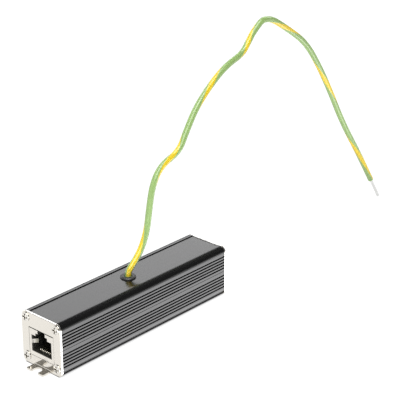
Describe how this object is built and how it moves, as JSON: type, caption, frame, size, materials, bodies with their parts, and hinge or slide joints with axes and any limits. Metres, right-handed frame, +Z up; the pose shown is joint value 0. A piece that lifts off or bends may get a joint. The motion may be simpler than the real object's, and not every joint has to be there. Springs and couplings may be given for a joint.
{
  "type": "in-line network surge protector",
  "caption": "Ribbed square aluminium housing with a shielded network jack and forked foot at each end, and an earth wire out of the top.",
  "frame": {"origin": "under the middle of the housing, on the surface that the feet stand on", "axes": "+Z up, +Y along the housing towards the rear jack and the wire's free end, +X to the right as seen from the front jack"},
  "size_m": [0.025, 0.2646, 0.1253],
  "materials": {
    "black_anodised": "satin black anodised",
    "bright_plate": "bright nickel-plated steel",
    "screw_steel": "nickel-plated steel",
    "jack_shield": "nickel-plated brass sheet",
    "jack_plastic": "black moulded",
    "contact_gold": "gold-plated wire",
    "board": "green glass-epoxy laminate",
    "gas_tube": "ceramic with tinned bands",
    "chip_ceramic": "coated chip",
    "chip_plastic": "moulded package",
    "capacitor_coat": "dipped epoxy",
    "grommet_rubber": "black rubber",
    "wire_insulation": "green with a yellow stripe",
    "tinned_copper": "tinned twisted strands",
    "solder": "solder"
  },
  "bodies": {
    "root": {"housing_extrusion": "black_anodised", "end_plate_front": "bright_plate", "end_plate_rear": "bright_plate", "plate_screws_front": "screw_steel", "plate_screws_rear": "screw_steel", "jack_shield_front": "jack_shield", "jack_shield_rear": "jack_shield", "jack_insulator_front": "jack_plastic", "jack_insulator_rear": "jack_plastic", "jack_contact_front_1": "contact_gold", "jack_contact_front_2": "contact_gold", "jack_contact_front_3": "contact_gold", "jack_contact_front_4": "contact_gold", "jack_contact_front_5": "contact_gold", "jack_contact_front_6": "contact_gold", "jack_contact_front_7": "contact_gold", "jack_contact_front_8": "contact_gold", "jack_contact_rear_1": "contact_gold", "jack_contact_rear_2": "contact_gold", "jack_contact_rear_3": "contact_gold", "jack_contact_rear_4": "contact_gold", "jack_contact_rear_5": "contact_gold", "jack_contact_rear_6": "contact_gold", "jack_contact_rear_7": "contact_gold", "jack_contact_rear_8": "contact_gold", "circuit_board": "board", "gas_tube_1": "gas_tube", "gas_tube_2": "gas_tube", "gas_tube_3": "gas_tube", "gas_tube_4": "gas_tube", "series_resistor_1": "chip_ceramic", "series_resistor_2": "chip_ceramic", "series_resistor_3": "chip_ceramic", "series_resistor_4": "chip_ceramic", "series_resistor_5": "chip_ceramic", "series_resistor_6": "chip_ceramic", "series_resistor_7": "chip_ceramic", "series_resistor_8": "chip_ceramic", "surge_diode_array_1": "chip_plastic", "surge_diode_array_2": "chip_plastic", "surge_diode_array_3": "chip_plastic", "surge_diode_array_4": "chip_plastic", "shield_capacitor": "capacitor_coat", "grommet": "grommet_rubber", "earth_wire": "wire_insulation", "earth_wire_end": "tinned_copper", "earth_wire_lead": "wire_insulation", "earth_solder_joint": "solder"}
  },
  "joints": []
}
